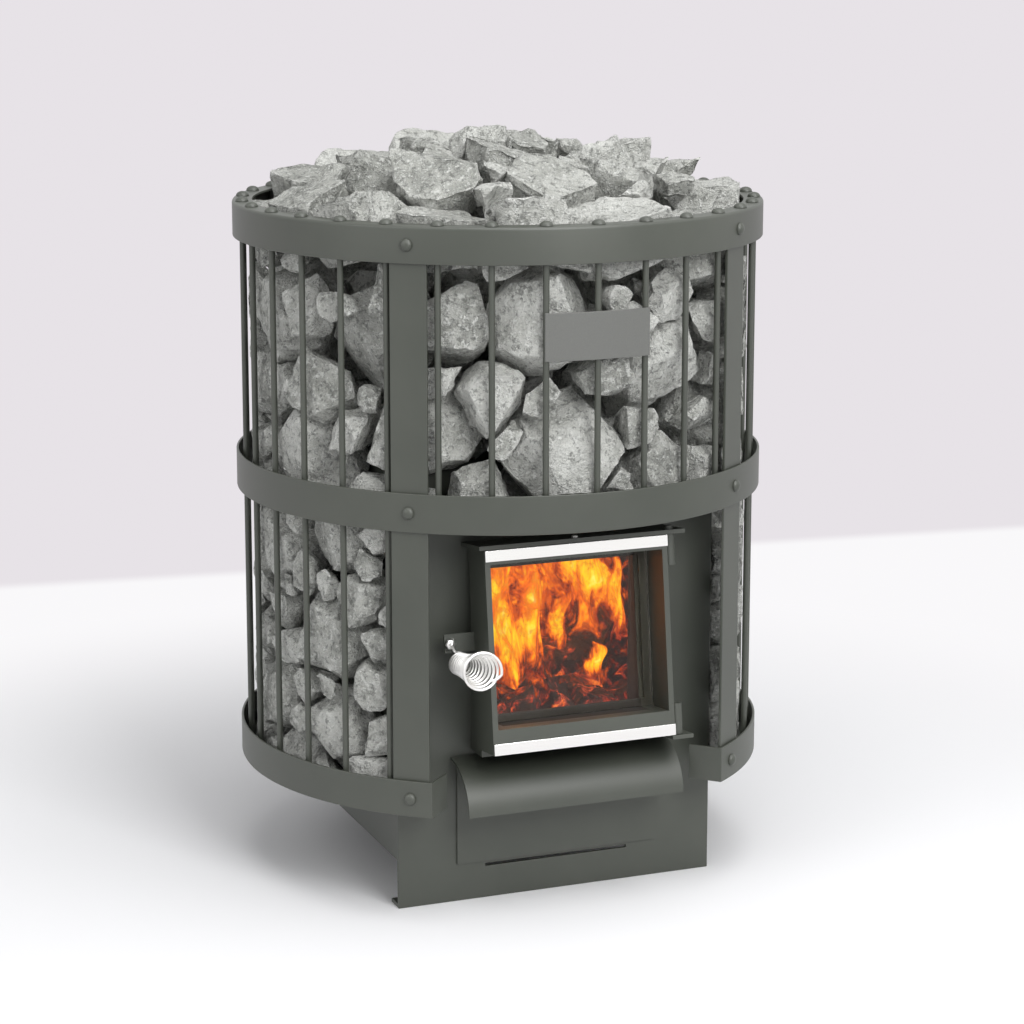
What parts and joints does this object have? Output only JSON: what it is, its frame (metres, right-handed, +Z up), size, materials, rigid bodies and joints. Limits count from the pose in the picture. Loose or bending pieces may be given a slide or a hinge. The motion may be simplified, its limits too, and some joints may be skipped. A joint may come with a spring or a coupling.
{
  "type": "sauna heater stove",
  "caption": "Round wood-burning sauna stove: a firebox with a leaning glass door and an ash drawer inside a basket of rods and rings heaped with heating stones.",
  "frame": {"origin": "on the floor under the axis of the round basket", "axes": "+Z up, the door faces -Y, +X to the right as seen from the front"},
  "size_m": [0.527, 0.527, 0.7328],
  "materials": {
    "heat_paint": "matt heat-resistant grey-black paint",
    "plate_metal": "satin painted plate, bare",
    "cast_hearth": "as cast",
    "polished_trim": "polished stainless steel",
    "bright_wire": "bright stainless spring wire",
    "fire_glass": "clear heat-resistant ceramic glass",
    "rock": "broken grey speckled rock"
  },
  "bodies": {
    "stove": {"top_ring": "heat_paint", "middle_ring": "heat_paint", "bottom_ring": "heat_paint", "post_front_left": "heat_paint", "post_front_right": "heat_paint", "post_rear_left": "heat_paint", "post_rear_right": "heat_paint", "rod_01": "heat_paint", "rod_02": "heat_paint", "rod_03": "heat_paint", "rod_04": "heat_paint", "rod_05": "heat_paint", "rod_06": "heat_paint", "rod_07": "heat_paint", "rod_08": "heat_paint", "rod_09": "heat_paint", "rod_10": "heat_paint", "rod_11": "heat_paint", "rod_12": "heat_paint", "rod_13": "heat_paint", "rod_14": "heat_paint", "rod_15": "heat_paint", "rod_16": "heat_paint", "rod_17": "heat_paint", "rod_18": "heat_paint", "rod_19": "heat_paint", "rod_20": "heat_paint", "rod_21": "heat_paint", "rod_22": "heat_paint", "rod_23": "heat_paint", "rod_24": "heat_paint", "rod_25": "heat_paint", "rod_26": "heat_paint", "rod_27": "heat_paint", "rod_28": "heat_paint", "rod_29": "heat_paint", "rod_30": "heat_paint", "rod_31": "heat_paint", "rod_32": "heat_paint", "front_plate": "heat_paint", "rear_plate": "heat_paint", "firebox_shell": "heat_paint", "base_plate": "heat_paint", "basket_floor": "heat_paint", "flue_collar": "heat_paint", "door_collar": "heat_paint", "hinge_ledge": "heat_paint", "hinge_bracket": "heat_paint", "nameplate": "plate_metal", "hearth": "cast_hearth", "stones_upper": "rock", "stones_left": "rock", "stones_right": "rock"},
    "door": {"door_frame": "heat_paint", "door_glass": "fire_glass", "top_trim": "polished_trim", "bottom_trim": "polished_trim", "door_handle": "bright_wire"},
    "ash_drawer": {"drawer_front": "heat_paint", "ash_box": "heat_paint"}
  },
  "joints": [
    {"name": "door_hinge", "type": "hinge", "parent": "stove", "child": "door", "pos_m": [0.0985, -0.22508, 0.16689], "axis": [0, 0.1288, 0.9917], "range_deg": [0, 120]},
    {"name": "drawer_slide", "type": "slide", "parent": "stove", "child": "ash_drawer", "axis": [0, -1, 0], "range_m": [0, 0.24]}
  ]
}
